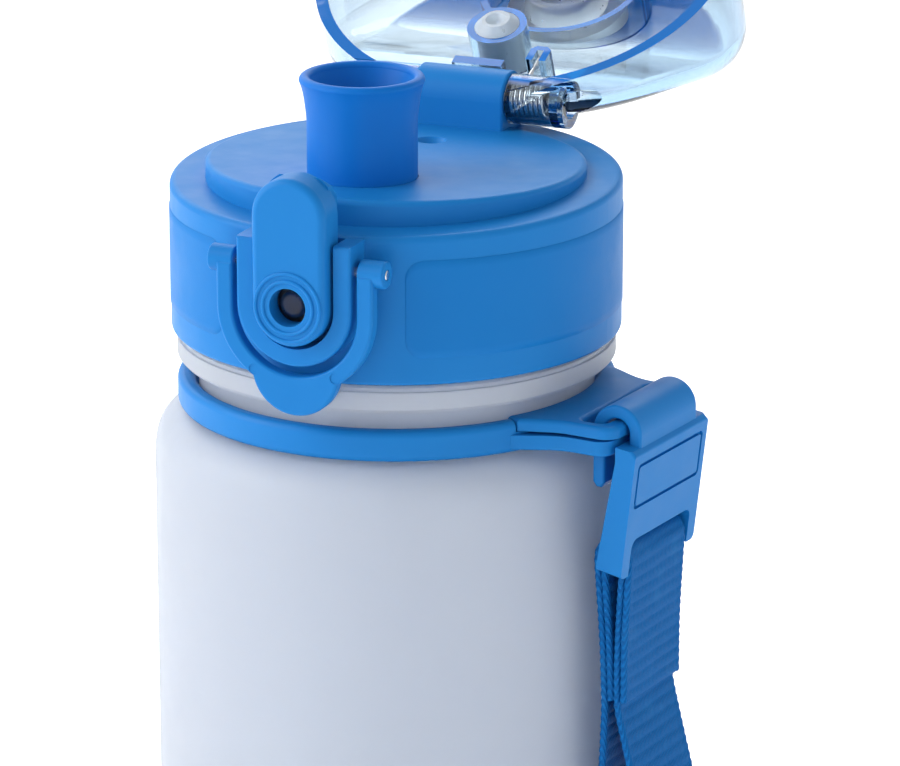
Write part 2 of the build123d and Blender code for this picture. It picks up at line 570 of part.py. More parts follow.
def strap_buckle():
    outer, inner = HOOK_U - HOOK_OUT, HOOK_U - HOOK_IN
    far_inner, far_outer = HOOK_U + HOOK_IN, HOOK_U + HOOK_OUT
    root_low = -11.5
    hook_side = make_face(Curve() + [
        Line((outer, TONGUE_LOW + 0.8), (outer, HOOK_Z)),
        ThreePointArc((outer, HOOK_Z), (HOOK_U, HOOK_Z + HOOK_OUT), (far_outer, HOOK_Z)),
        Line((far_outer, HOOK_Z), (far_outer, root_low)),
        Line((far_outer, root_low), (far_inner, root_low)),
        Line((far_inner, root_low), (far_inner, HOOK_Z)),
        ThreePointArc((far_inner, HOOK_Z), (HOOK_U, HOOK_Z + HOOK_IN), (inner, HOOK_Z)),
        Line((inner, HOOK_Z), (inner, TONGUE_LOW + 0.8)),
        Line((inner, TONGUE_LOW + 0.8), (inner - 0.6, TONGUE_LOW)),
        Line((inner - 0.6, TONGUE_LOW), (outer + 0.6, TONGUE_LOW)),
        Line((outer + 0.6, TONGUE_LOW), (outer, TONGUE_LOW + 0.8)),
    ])
    hook = prism_v(Plane.XZ * hook_side, HOOK_HALF)
    ends = hook.faces().sort_by(Axis.Y)
    hook = fillet(ends[0].edges() + ends[-1].edges(), 0.45)
    slab = make_face(Plane.XZ * Polyline(
        *BUCKLE_TOP_EDGE, BUCKLE_FACE_TOP, BUCKLE_FACE_LOW, BUCKLE_BACK_LOW, BUCKLE_BACK_TOP, close=True))
    body = prism_v(slab, BUCKLE_HALF)
    ends = body.faces().sort_by(Axis.Y)
    corners = body.edges().filter_by(lambda e: abs(e.center().Y) > BUCKLE_HALF - 0.1)
    low_corners = [e for e in corners if e.center().Z < BUCKLE_FACE_LOW[1] + 0.6]
    body = fillet(low_corners, 1.0)
    front = body.faces().sort_by(Axis((0, 0, 0), (1, 0, 0.12)))[-1]
    body = fillet(front.edges(), 0.45)
    window = Plane.YZ * Pos(0, WINDOW_TOP - 10) * RectangleRounded(2 * WINDOW_HALF, 20, 1.5)
    body -= Pos(30, 0, 0) * extrude(window, 30, dir=(1, 0, 0))
    down = (BUCKLE_FACE_LOW[0] - BUCKLE_FACE_TOP[0], BUCKLE_FACE_LOW[1] - BUCKLE_FACE_TOP[1])
    face = Plane(origin=(BUCKLE_FACE_TOP[0], 0, BUCKLE_FACE_TOP[1]),
                 x_dir=(0, 1, 0), z_dir=(-down[1], 0, down[0]))
    frame_out = RectangleRounded(PANEL_WIDE, PANEL_TALL, 0.9)
    frame_in = RectangleRounded(PANEL_WIDE - 2 * PANEL_GROOVE, PANEL_TALL - 2 * PANEL_GROOVE, 0.5)
    groove = extrude(Pos(0, -PANEL_DROP) * (frame_out - frame_in), 0.5, both=True)
    return hook + (body - face * groove) + rod_y(BAR_R, -WINDOW_HALF - 1, WINDOW_HALF + 1, BAR_U, BAR_Z)


def strap_webbing():
    side = Plane.XZ
    stack_mid = sum(WEB_STACK) / 2
    stack_wide = WEB_STACK[1] - WEB_STACK[0]
    stack_tall = BAR_Z - WEB_STACK_LOW
    eye = Pos(BAR_U, BAR_Z) * Circle(WEB_EYE_R)
    stack = Pos(stack_mid, BAR_Z - stack_tall / 2) * Rectangle(stack_wide, stack_tall)
    ends = (Pos(LOOP_U, LOOP_Z) * Circle(LOOP_R)).edges()
    ends += (Pos(stack_mid, WEB_STACK_LOW + 0.5) * Rectangle(stack_wide, 1)).edges()
    drop = make_hull(ends)
    loop = drop - offset(drop, -LOOP_THICK)
    face = eye + stack + loop - Pos(BAR_U, BAR_Z) * Circle(BAR_R + 0.15)
    return prism_v(side * face, WEB_HALF)


def on_tab(shape):
    return Rot(0, 0, TAB_TURN) * shape


PARTS = {
    "bottle_body": bottle_body,
    "cap_body": cap_body,
    "cap_liner": cap_liner,
    "cap_gasket": cap_gasket,
    "spout": spout,
    "spout_seal": spout_seal,
    "vent_valve": vent_valve,
    "latch_pin": latch_pin,
    "latch_button": latch_button,
    "button_plug": button_plug,
    "lock_bail": lock_bail,
    "hinge_pin": hinge_pin,
    "cover": lambda: opened(cover_closed()),
    "spout_stopper": lambda: opened(spout_stopper()),
    "vent_stopper": lambda: opened(vent_stopper()),
    "hinge_spring": lambda: opened(hinge_spring()),
    "carry_ring": lambda: on_tab(carry_ring()),
    "strap_buckle": lambda: on_tab(strap_buckle()),
    "strap_webbing": lambda: on_tab(strap_webbing()),
}

os.makedirs("parts", exist_ok=True)
for name, make in PARTS.items():
    export_step(Pos(0, 0, CAP_Z) * make(), f"parts/{name}.step")
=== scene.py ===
import json
import math

import bmesh
import bpy
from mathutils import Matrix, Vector

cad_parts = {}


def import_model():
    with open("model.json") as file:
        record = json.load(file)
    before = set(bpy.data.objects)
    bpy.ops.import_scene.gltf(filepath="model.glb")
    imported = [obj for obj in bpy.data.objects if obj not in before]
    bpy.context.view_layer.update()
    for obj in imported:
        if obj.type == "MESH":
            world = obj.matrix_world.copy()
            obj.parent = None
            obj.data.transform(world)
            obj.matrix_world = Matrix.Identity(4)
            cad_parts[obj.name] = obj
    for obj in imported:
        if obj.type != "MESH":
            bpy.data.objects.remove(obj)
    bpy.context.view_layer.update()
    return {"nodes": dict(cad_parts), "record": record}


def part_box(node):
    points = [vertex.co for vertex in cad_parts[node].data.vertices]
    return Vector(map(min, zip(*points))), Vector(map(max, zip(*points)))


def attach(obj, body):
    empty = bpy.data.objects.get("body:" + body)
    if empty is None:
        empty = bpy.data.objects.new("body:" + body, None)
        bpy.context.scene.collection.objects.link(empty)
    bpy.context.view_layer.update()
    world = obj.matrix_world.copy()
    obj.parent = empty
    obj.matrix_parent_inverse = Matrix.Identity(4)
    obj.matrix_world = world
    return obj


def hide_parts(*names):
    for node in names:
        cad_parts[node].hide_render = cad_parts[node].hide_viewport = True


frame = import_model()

MM = 0.001
nodes = frame["nodes"]

# ---- Sizes that the looks share with the design, in metres ----
cap_low, cap_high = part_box("cap_body")
CAP_Z = cap_low.z                              # the cap's lower edge
CAP_R = (cap_high.x - cap_low.x) / 2

COVER_OPEN = math.radians(156)                 # how far the open cover's rim is turned from facing down
TAB_TURN = math.radians(-8)                    # direction of the carry tab, from +X
TAB_OUT = Vector((math.cos(TAB_TURN), math.sin(TAB_TURN), 0))
TAB_SIDE = Vector((-math.sin(TAB_TURN), math.cos(TAB_TURN), 0))

YARN = 0.42 * MM                               # width of one yarn of the webbing
YARN_SLANT = 0.3                               # its drift across, per length along the strap
UV_START = 20 * MM                             # keeps the yarns' UV coordinates above zero

# The strap's side plane: U runs out from the axis along the tab, Z up from the cap's lower edge.
BAR_U, BAR_Z, BAR_R = 42.15 * MM, -28.2 * MM, 0.9 * MM
WEB_THICK = 1.02 * MM
WEB_HALF = 8.7 * MM
STACK_U = 42.5 * MM                            # middle of the four sewn layers
STACK_TOP, STACK_LOW = -31.5 * MM, -50.5 * MM
LOOP_U, LOOP_Z = 49.0 * MM, -124.0 * MM
LOOP_R = 10.0 * MM - WEB_THICK / 2

# ---- Node trees ----


def fill_range(node, start, stop, low, high):
    """Make a Map Range node turn start..stop into low..high."""
    limits = {"From Min": start, "From Max": stop, "To Min": low, "To Max": high}
    for socket, value in limits.items():
        node.inputs[socket].default_value = value


class Shader:
    """A material with a Principled shader, and short calls for its procedural detail."""

    def __init__(self, name, colour, roughness, **sockets):
        self.material = bpy.data.materials.new(name)
        self.material.use_nodes = True
        self.tree = self.material.node_tree
        self.bsdf = self.tree.nodes["Principled BSDF"]
        self.bsdf.inputs["Base Color"].default_value = (*colour, 1)
        self.bsdf.inputs["Roughness"].default_value = roughness
        for socket, value in sockets.items():
            self.bsdf.inputs[socket.replace("_", " ")].default_value = value
        self.object_place = self.node("TexCoord").outputs["Object"]
        self.colour, self.roughness = colour, roughness
        self.height = None

    def node(self, kind, **settings):
        made = self.tree.nodes.new("ShaderNode" + kind)
        for key, value in settings.items():
            setattr(made, key, value)
        return made

    def link(self, source, target):
        self.tree.links.new(source, target)

    def noise(self, size, detail=2.0, place=None, stretch=None):
        """Smooth noise whose features are about size metres across."""
        place = place or self.object_place
        if stretch:
            mapping = self.node("Mapping")
            mapping.inputs["Scale"].default_value = stretch
            self.link(place, mapping.inputs["Vector"])
            place = mapping.outputs["Vector"]
        texture = self.node("TexNoise")
        texture.inputs["Scale"].default_value = 1 / size
        texture.inputs["Detail"].default_value = detail
        self.link(place, texture.inputs["Vector"])
        return texture.outputs["Fac"]

    def ranged(self, source, low, high, start=0.3, stop=0.7):
        made = self.node("MapRange")
        self.link(source, made.inputs["Value"])
        fill_range(made, start, stop, low, high)
        return made.outputs["Result"]

    def math(self, operation, *values):
        made = self.node("Math", operation=operation)
        for socket, value in zip(made.inputs, values):
            if isinstance(value, (int, float)):
                socket.default_value = value
            else:
                self.link(value, socket)
        return made.outputs[0]

    def mixed(self, share, a, b):
        """Colour a where share is 0 and b where it is 1."""
        made = self.node("Mix", data_type="RGBA")
        self.link(share, made.inputs["Factor"])
        for socket, value in ((made.inputs["A"], a), (made.inputs["B"], b)):
            if isinstance(value, tuple):
                socket.default_value = (*value, 1)
            else:
                self.link(value, socket)
        return made.outputs["Result"]

    def vary_colour(self, source, other):
        """Turn towards another colour where source is high."""
        base = self.bsdf.inputs["Base Color"]
        start = base.links[0].from_socket if base.links else self.colour
        self.link(self.mixed(source, start, other), base)

    def vary_roughness(self, source, spread):
        low, high = self.roughness - spread, self.roughness + spread
        self.link(self.ranged(source, low, high), self.bsdf.inputs["Roughness"])

    def bump(self, source, depth, strength):
        """Add relief of about depth metres over what is there already."""
        made = self.node("Bump")
        made.inputs["Strength"].default_value = strength
        made.inputs["Distance"].default_value = depth
        self.link(source, made.inputs["Height"])
        if self.height:
            self.link(self.height, made.inputs["Normal"])
        self.height = made.outputs["Normal"]
        self.link(self.height, self.bsdf.inputs["Normal"])


def satin_plastic(name, colour, pale, roughness):
    """Moulded polypropylene: eroded grain, soft flow shading and a little handling polish."""
    shader = Shader(name, colour, roughness, IOR=1.49, Specular_IOR_Level=0.15,
                    Subsurface_Weight=0.12, Subsurface_Scale=0.0012)
    shader.bsdf.inputs["Subsurface Radius"].default_value = (0.25, 0.6, 1.0)
    flow = shader.noise(14 * MM, 3, stretch=(1, 1, 0.45))
    shader.vary_colour(shader.ranged(flow, 0.0, 0.35), pale)
    shader.vary_roughness(shader.noise(5 * MM, 4), 0.05)
    shader.bump(shader.noise(0.28 * MM, 3), 0.012 * MM, 0.7)
    shader.bump(shader.noise(3.5 * MM, 2), 0.02 * MM, 0.5)
    return shader


def grip_plastic():
    """The same plastic with the coarser grain of the cap's finger panels."""
    colour, pale = (0.004, 0.162, 0.485), (0.008, 0.182, 0.515)
    shader = satin_plastic("blue_grip_panel", colour, pale, 0.47)
    shader.bump(shader.noise(0.16 * MM, 2), 0.014 * MM, 0.8)
    return shader


def frosted_plastic():
    """Frosted translucent bottle wall: milky and a little cloudy, with a fine etched grain."""
    shader = Shader("frosted_bottle", (0.70, 0.75, 0.84), 0.52, IOR=1.5,
                    Specular_IOR_Level=0.3, Transmission_Weight=0.6,
                    Subsurface_Weight=0.4, Subsurface_Scale=0.006)
    shader.bsdf.inputs["Subsurface Radius"].default_value = (0.8, 0.9, 1.0)
    cloud = shader.noise(22 * MM, 3, stretch=(1, 1, 0.35))
    shader.vary_colour(shader.ranged(cloud, 0.0, 0.5), (0.73, 0.78, 0.86))
    shader.vary_roughness(shader.noise(6 * MM, 4), 0.05)
    shader.bump(shader.noise(0.22 * MM, 3), 0.010 * MM, 0.6)
    shader.bump(shader.noise(9 * MM, 2), 0.03 * MM, 0.4)
    return shader


def clear_plastic():
    """Clear cover: tinted all through, with a painted blue band of light where a face looks the way the
    rim does, standing in for light that runs a long way through the tinted plastic there.
    """
    shader = Shader("clear_cover", (0.82, 0.80, 0.78), 0.03, IOR=1.5, Transmission_Weight=1.0)
    normal = shader.node("TexCoord").outputs["Normal"]
    rim = shader.node("VectorMath", operation="DOT_PRODUCT")
    rim.inputs[1].default_value = (0, -math.sin(COVER_OPEN), -math.cos(COVER_OPEN))
    shader.link(normal, rim.inputs[0])
    # Painted light: faces turned the way the rim looks are painted blue and made less clear. This stands
    # in for the long light paths through the tinted rim.
    facing = shader.ranged(rim.outputs["Value"], 0.0, 1.0, 0.955, 0.998)
    shader.vary_colour(facing, (0.0, 0.17, 0.60))
    clearness = shader.ranged(facing, 1.0, 0.22, 0.0, 1.0)
    shader.link(clearness, shader.bsdf.inputs["Transmission Weight"])
    shader.vary_roughness(shader.noise(4 * MM, 3), 0.02)
    shader.bump(shader.noise(8 * MM, 2), 0.05 * MM, 0.5)
    scuffs = shader.noise(0.5 * MM, 4, stretch=(1, 0.15, 1))
    shader.bump(shader.ranged(scuffs, 0, 1, 0.68, 0.74), 0.002 * MM, 0.3)
    tint = shader.node("VolumeAbsorption")
    tint.inputs["Color"].default_value = (0.06, 0.61, 0.98, 1)
    tint.inputs["Density"].default_value = 165.0
    shader.link(tint.outputs["Volume"], shader.tree.nodes["Material Output"].inputs["Volume"])
    return shader


def silicone(name, colour, clear):
    """Silicone rubber with a soft sheen; clear is how much light goes through."""
    shader = Shader(name, colour, 0.34, IOR=1.41, Transmission_Weight=clear,
                    Subsurface_Weight=0.4, Subsurface_Scale=0.002)
    shader.bsdf.inputs["Subsurface Radius"].default_value = (1.0, 1.0, 1.0)
    darker = tuple(0.92 * c for c in colour)
    shader.vary_colour(shader.ranged(shader.noise(2.5 * MM, 3), 0.0, 0.5), darker)
    shader.vary_roughness(shader.noise(1.5 * MM, 3), 0.07)
    shader.bump(shader.noise(0.35 * MM, 3), 0.012 * MM, 0.7)
    return shader


def bright_steel():
    """Drawn stainless wire and pins: draw lines along X."""
    shader = Shader("bright_steel", (0.74, 0.745, 0.76), 0.2, Metallic=1.0)
    lines = shader.noise(0.12 * MM, 3, stretch=(0.06, 1, 1))
    shader.vary_roughness(lines, 0.08)
    shader.vary_colour(shader.ranged(shader.noise(1.2 * MM, 3), 0.0, 0.4), (0.60, 0.60, 0.62))
    shader.bump(lines, 0.004 * MM, 0.6)
    return shader


def woven_polyester():
    """Ribbed webbing: slanted yarns over the ribs of the mesh, with fibres and worn patches."""
    shader = Shader("blue_webbing", (0.002, 0.085, 0.30), 0.62,
                    IOR=1.5, Specular_IOR_Level=0.1)
    place = shader.node("UVMap", uv_map="yarn").outputs["UV"]
    split = shader.node("SeparateXYZ")
    shader.link(place, split.inputs["Vector"])
    along, across = split.outputs["X"], split.outputs["Y"]
    waver = shader.math("MULTIPLY", shader.noise(0.7, 2, place=place), 1.6)
    slant = shader.math("ADD", across, shader.math("MULTIPLY", along, YARN_SLANT))
    phase = shader.math("ADD", shader.math("MULTIPLY", slant, 2 * math.pi), waver)
    yarn = shader.math("MULTIPLY_ADD", shader.math("SINE", phase), 0.5, 0.5)
    fibre = shader.noise(0.12, 3, place=place, stretch=(0.35, 1.6, 1))
    shader.vary_colour(shader.ranged(yarn, 0.0, 0.75, 0.1, 0.95), (0.004, 0.15, 0.46))
    shader.vary_colour(shader.ranged(fibre, 0.0, 0.6, 0.5, 0.72), (0.008, 0.20, 0.55))
    worn = shader.noise(11.0, 3, place=place)
    shader.vary_colour(shader.ranged(worn, 0.0, 0.3, 0.55, 0.8), (0.03, 0.21, 0.50))
    shader.bump(yarn, 0.09 * MM, 0.9)
    shader.bump(fibre, 0.04 * MM, 0.8)
    return shader


def sewing_thread():
    """Twisted thread of the box stitch."""
    shader = Shader("blue_thread", (0.02, 0.20, 0.56), 0.5, Sheen_Weight=0.3)
    twist = shader.node("TexWave", bands_direction="DIAGONAL")
    twist.inputs["Scale"].default_value = 900
    shader.link(shader.object_place, twist.inputs["Vector"])
    shader.vary_colour(twist.outputs["Fac"], (0.05, 0.30, 0.70))
    shader.bump(twist.outputs["Fac"], 0.04 * MM, 0.8)
    return shader


def studio_floor():
    """Pale floor with a little light of its own, so that it runs into the background."""
    shader = Shader("studio_floor", (0.93, 0.935, 0.94), 0.75,
                    Specular_IOR_Level=0.2, Emission_Strength=0.36)
    shader.bsdf.inputs["Emission Color"].default_value = (1, 1, 1, 1)
    shader.vary_colour(shader.ranged(shader.noise(0.3, 3), 0.0, 0.3), (0.91, 0.915, 0.92))
    shader.bump(shader.noise(0.002, 3), 0.00005, 0.3)
    return shader


BLUE, PALE_BLUE = (0.008, 0.178, 0.51), (0.013, 0.203, 0.55)
SPOUT_BLUE, PALE_SPOUT = (0.001, 0.140, 0.52), (0.003, 0.160, 0.55)
shaders = {
    "frosted_body": frosted_plastic(),
    "cap_plastic": satin_plastic("blue_satin", BLUE, PALE_BLUE, 0.42),
    "spout_plastic": satin_plastic("blue_soft_spout", SPOUT_BLUE, PALE_SPOUT, 0.48),
    "clear_cover": clear_plastic(),
    "white_silicone": silicone("white_silicone", (0.80, 0.88, 0.97), 0.5),
    "clear_silicone": silicone("clear_silicone", (0.45, 0.55, 0.70), 1.0),
    "steel": bright_steel(),
    "webbing": woven_polyester(),
}
# The spout stopper shares the white silicone's slot, but hardly shows in the photo.
looks = {"spout_stopper": silicone("spout_stopper_silicone", (0.90, 0.925, 0.96), 0.92)}
for part in frame["record"]["subparts"]:
    shader = looks.get(part["node"], shaders[part["material_slot"]])
    for place in nodes[part["node"]].material_slots:
        place.material = shader.material

# ---- Mesh helpers ----


def placed(name, data):
    """A new object in the scene."""
    made = bpy.data.objects.new(name, data)
    bpy.context.scene.collection.objects.link(made)
    return made


def mend_normals(mesh):
    """Turn every face outwards."""
    work = bmesh.new()
    work.from_mesh(mesh)
    bmesh.ops.recalc_face_normals(work, faces=work.faces)
    work.to_mesh(mesh)
    work.free()


def piece(name, points, faces, material, body):
    """A smooth mesh piece in the row frame that rides on a body."""
    mesh = bpy.data.meshes.new(name)
    mesh.from_pydata([tuple(p) for p in points], [], faces)
    mesh.validate()
    mesh.polygons.foreach_set("use_smooth", [True] * len(mesh.polygons))
    mesh.materials.append(material)
    made = placed(name, mesh)
    mend_normals(mesh)
    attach(made, body)
    return made


def bands(start, rows, count, closed=True):
    """Faces between rows of count points each, numbered from start on."""
    faces = []
    for i in range(rows - 1):
        a, b = start + i * count, start + (i + 1) * count
        for j in range(count if closed else count - 1):
            n = (j + 1) % count
            faces.append((a + j, a + n, b + n, b + j))
    return faces


def caps(start, rows, count):
    """The two end faces of closed bands."""
    last = start + (rows - 1) * count
    return [tuple(reversed(range(start, start + count))), tuple(range(last, last + count))]


def on_cap(angle, z, lift):
    """A point lift above the cap's wall, z above its lower edge."""
    r = CAP_R + lift
    return Vector((r * math.cos(angle), r * math.sin(angle), CAP_Z + z))


# ---- Grip panels on the cap's sides ----
PANEL_LOW, PANEL_HIGH = 4.2 * MM, 18.7 * MM
PANEL_START = math.radians(25.4)               # from the front, each side of the latch
PANEL_CORNER = 2.6 * MM
PANEL_PROUD = 0.12 * MM
PANEL_EDGE = 0.14 * MM                         # width of the slope at its border
PANEL_SUNK = 0.03 * MM                         # how far that slope ends inside the wall


def grip_panel(name, side, material):
    """A barely raised panel with rounded corners, bent round the cap's wall."""
    half_span = (math.pi - 2 * PANEL_START) / 2 * CAP_R
    steps, corner_steps, rows = 96, 8, 12
    straight = half_span - PANEL_CORNER
    offsets = [straight + PANEL_CORNER * math.sin(i / corner_steps * math.pi / 2)
               for i in range(corner_steps + 1)]
    across = [-x for x in reversed(offsets)]
    across += [straight * (2 * i / steps - 1) for i in range(1, steps)]
    across += offsets

    def height_cut(x):
        past = max(0.0, abs(x) - straight)
        return PANEL_CORNER - math.sqrt(max(0.0, PANEL_CORNER ** 2 - past ** 2))

    points, grid = [], []
    for x in across:
        angle = side * (x / CAP_R) + (0 if side > 0 else math.pi)
        cut = height_cut(x)
        low, high = PANEL_LOW + cut, PANEL_HIGH - cut
        column = []
        for j in range(rows + 1):
            z = low + (high - low) * j / rows
            column.append(len(points))
            points.append(on_cap(angle, z, PANEL_PROUD))
        grid.append(column)
    faces = []
    for left, right in zip(grid, grid[1:]):
        for j in range(rows):
            faces.append((left[j], right[j], right[j + 1], left[j + 1]))

    # The edge slopes down into the wall all round.
    border = [column[0] for column in grid] + grid[-1][1:-1]
    border += [column[-1] for column in reversed(grid)] + grid[0][-2:0:-1]
    middle_z = CAP_Z + (PANEL_LOW + PANEL_HIGH) / 2
    middle_angle = 0 if side > 0 else math.pi
    skirt = []
    for k in border:
        p = points[k]
        angle = math.atan2(p.y, p.x)
        turn = (angle - middle_angle + math.pi) % (2 * math.pi) - math.pi
        x, z = turn * CAP_R, p.z - middle_z
        core_x = max(-straight, min(straight, x))
        reach = (PANEL_HIGH - PANEL_LOW) / 2 - PANEL_CORNER
        core_z = max(-reach, min(reach, z))
        way = Vector((x - core_x, z - core_z))
        way = way.normalized() if way.length > 1e-9 else Vector((0, 0))
        x, z = x + way.x * PANEL_EDGE, z + way.y * PANEL_EDGE
        skirt.append(len(points))
        points.append(on_cap(middle_angle + x / CAP_R, middle_z - CAP_Z + z, -PANEL_SUNK))
    count = len(border)
    for k in range(count):
        n = (k + 1) % count
        faces.append((border[k], skirt[k], skirt[n], border[n]))
    piece(name, points, faces, material, "cap")


grip = grip_plastic().material
for side, name in ((1, "grip_panel_right"), (-1, "grip_panel_left")):
    grip_panel(name, side, grip)

# ---- Webbing: one strip, folded twice over the buckle's bar, with a hand loop ----
RIB = 1.95 * MM                                # spacing of the weave's cross ribs
RIB_DEPTH = 0.30 * MM
RIB_WAVER, WAVER_LENGTH = 0.06, 3.1 * MM       # the ribs' unevenness across the strap
YARNS_PER_CORD = 3
BEAD = 1.3 * MM                                # spacing of the selvedge's turns
BEAD_DEPTH = 0.16 * MM
EDGE_ROUND = 0.62 * MM                         # half the selvedge's width
EDGE_RISE = 0.05 * MM                          # the level that the weave ends on beside it
STEP = 0.32 * MM                               # length of one row of faces
BAR_GAP = 0.1 * MM                             # between the bar and the inner fold
LOW_OUT, LOW_Z = 0.5 * MM, 3 * MM              # where the loop leaves the sewn stack


def arc(u, z, r, start, stop, count):
    """Points on an arc in the tab's side plane, angles in degrees."""
    made = []
    for i in range(count + 1):
        a = math.radians(start + (stop - start) * i / count)
        made.append((u + r * math.cos(a), z + r * math.sin(a)))
    return made


def webbing_route():
    """The strip's middle line: over the bar, down the loop, back up and over the bar again."""
    inner = BAR_R + BAR_GAP + WEB_THICK / 2
    outer = inner + WEB_THICK + 0.05 * MM
    layer = WEB_THICK + 0.06 * MM
    back_out, back_in = STACK_U - 1.5 * layer, STACK_U - 0.5 * layer
    front_in, front_out = STACK_U + 0.5 * layer, STACK_U + 1.5 * layer
    high = BAR_Z - 1.5 * MM
    low = STACK_LOW
    lower = STACK_LOW - LOW_Z
    middle = (STACK_TOP + STACK_LOW) / 2
    mid_back_out = (back_out + BAR_U - outer) / 2 + 0.25 * MM
    mid_back_in = (back_in + BAR_U - inner) / 2 + 0.25 * MM
    mid_front_in = (front_in + BAR_U + inner) / 2 - 0.25 * MM
    mid_front_out = (front_out + BAR_U + outer) / 2 - 0.25 * MM
    route = [(back_in, low), (mid_back_in, middle), (BAR_U - inner, high)]
    route += arc(BAR_U, BAR_Z, inner, 180, 0, 10)
    route += [(BAR_U + inner, high), (mid_front_in, middle)]
    route += [(front_in, low), (front_in + LOW_OUT, lower)]
    route += [(STACK_U + 6.3 * MM, -74 * MM), (STACK_U + 11.6 * MM, -99 * MM)]
    route += arc(LOOP_U, LOOP_Z, LOOP_R, 12, -184, 14)
    route += [(STACK_U - 2.7 * MM, -99 * MM), (STACK_U - 2.4 * MM, -74 * MM)]
    route += [(back_out, lower), (back_out, low)]
    route += [(mid_back_out, middle), (BAR_U - outer, high)]
    route += arc(BAR_U, BAR_Z, outer, 180, 0, 12)
    route += [(BAR_U + outer, high), (mid_front_out, middle), (front_out, low)]
    return [Vector(p) for p in route]


def smooth_line(keys, step):
    """An even walk along a Catmull-Rom line through the keys."""
    fine = []
    padded = [keys[0] * 2 - keys[1], *keys, keys[-1] * 2 - keys[-2]]
    for a, b, c, d in zip(padded, padded[1:], padded[2:], padded[3:]):
        count = max(4, int((c - b).length / (0.15 * MM)))
        first, last = (b - a).length, (d - c).length
        span = (c - b).length
        lead = (c - a) * (span / (first + span))
        trail = (d - b) * (span / (span + last))
        for i in range(count):
            t = i / count
            h1, h2 = 2 * t ** 3 - 3 * t ** 2 + 1, t ** 3 - 2 * t ** 2 + t
            h3, h4 = -2 * t ** 3 + 3 * t ** 2, t ** 3 - t ** 2
            fine.append(b * h1 + lead * h2 + c * h3 + trail * h4)
    fine.append(keys[-1])
    total = sum((q - p).length for p, q in zip(fine, fine[1:]))
    count = round(total / step)
    even, walked, k = [fine[0]], 0.0, 0
    for i in range(1, count):
        goal = total * i / count
        while walked + (fine[k + 1] - fine[k]).length < goal:
            walked += (fine[k + 1] - fine[k]).length
            k += 1
        span = (fine[k + 1] - fine[k]).length
        even.append(fine[k].lerp(fine[k + 1], (goal - walked) / span))
    even.append(fine[-1])
    return even, total


class Strip:
    """Places a point of the flat webbing (along, across, lift) in the row frame."""

    def __init__(self):
        self.line, self.length = smooth_line(webbing_route(), STEP)
        self.normals = []
        for i in range(len(self.line)):
            ahead = self.line[min(i + 1, len(self.line) - 1)] - self.line[max(i - 1, 0)]
            ahead.normalize()
            self.normals.append(Vector((-ahead.y, ahead.x)))

    def place(self, along, across, lift):
        spot = min(max(along / self.length, 0), 1) * (len(self.line) - 1)
        k = min(int(spot), len(self.line) - 2)
        share = spot - k
        flat = self.line[k].lerp(self.line[k + 1], share)
        normal = self.normals[k].lerp(self.normals[k + 1], share).normalized()
        flat = flat + normal * lift
        return TAB_OUT * flat.x + TAB_SIDE * across + Vector((0, 0, CAP_Z + flat.y))


strip = Strip()


def weave_height(along, across, face):
    """Relief of the ribbed weave on one face: rounded cross ribs made of slanted cords."""
    waver = RIB_WAVER * math.sin(across / WAVER_LENGTH)
    rib = (along / RIB + waver + (0.5 if face < 0 else 0)) % 1.0
    ridge = math.sin(math.pi * rib) ** 0.6
    cord = abs(math.sin(math.pi * (across / (YARNS_PER_CORD * YARN) + 0.5 * rib)))
    return RIB_DEPTH * (ridge - 0.75) * (0.75 + 0.25 * cord)


def weave_lift(along, x, face):
    """How far the surface stands from the strip's middle, and how far its edge is pushed out."""
    side = 1 if x > 0 else -1
    flat_half = WEB_HALF - EDGE_ROUND
    past = max(0.0, abs(x) - flat_half) / EDGE_ROUND
    round_off = math.sqrt(max(0.0, 1 - past * past))
    turn = along / BEAD + (0.5 if x > 0 else 0) + 0.3 * face
    bead = BEAD_DEPTH * math.sin(2 * math.pi * turn) if past > 0 else 0
    near_edge = 1.0
    if abs(x) < flat_half:
        near_edge = max(0.0, 1 - (flat_half - abs(x)) / (0.5 * MM))
    relief = weave_height(along, x, face) * (1 - near_edge) + EDGE_RISE * near_edge
    lift = face * (WEB_THICK / 2 * round_off + relief * round_off) + bead * 0.25 * face * round_off
    return lift, bead * 0.6 * past * side


def webbing():
    """The whole strip as one closed mesh, with its yarns laid out in a UV map."""
    flat_half = WEB_HALF - EDGE_ROUND
    middle_count, edge_count = 52, 4
    across = [-flat_half - EDGE_ROUND * math.cos(i / edge_count * math.pi / 2)
              for i in range(edge_count)]
    across += [flat_half * (2 * i / middle_count - 1) for i in range(middle_count + 1)]
    across += [-x for x in reversed(across[:edge_count])]
    ring = [(x, 1) for x in across] + [(x, -1) for x in reversed(across[1:-1])]
    rows, count = len(strip.line), len(ring)
    points, uvs = [], []
    for i in range(rows):
        along = strip.length * i / (rows - 1)
        for x, face in ring:
            lift, push = weave_lift(along, x, face)
            points.append(strip.place(along, x + push, lift))
            uvs.append((along / YARN, (x + UV_START) / YARN))
    faces = bands(0, rows, count) + caps(0, rows, count)
    made = piece("webbing_loop", points, faces, shaders["webbing"].material, "strap")
    layer = made.data.uv_layers.new(name="yarn")
    for loop in made.data.loops:
        layer.data[loop.index].uv = uvs[loop.vertex_index]
    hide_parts("strap_webbing")


webbing()

# ---- Sewing on the front of the stack: a box with a cross in it ----
STITCH, STITCH_GAP, THREAD_R = 2.1 * MM, 0.55 * MM, 0.2 * MM
BOX_TOP, BOX_LOW, BOX_SIDE = 5.5 * MM, 1.6 * MM, 2.0 * MM
THREAD_SUNK, THREAD_ARCH = 0.12 * MM, 0.16 * MM
WEAVE_PROUD = 0.10 * MM                        # the weave's face stands this far above the strip's


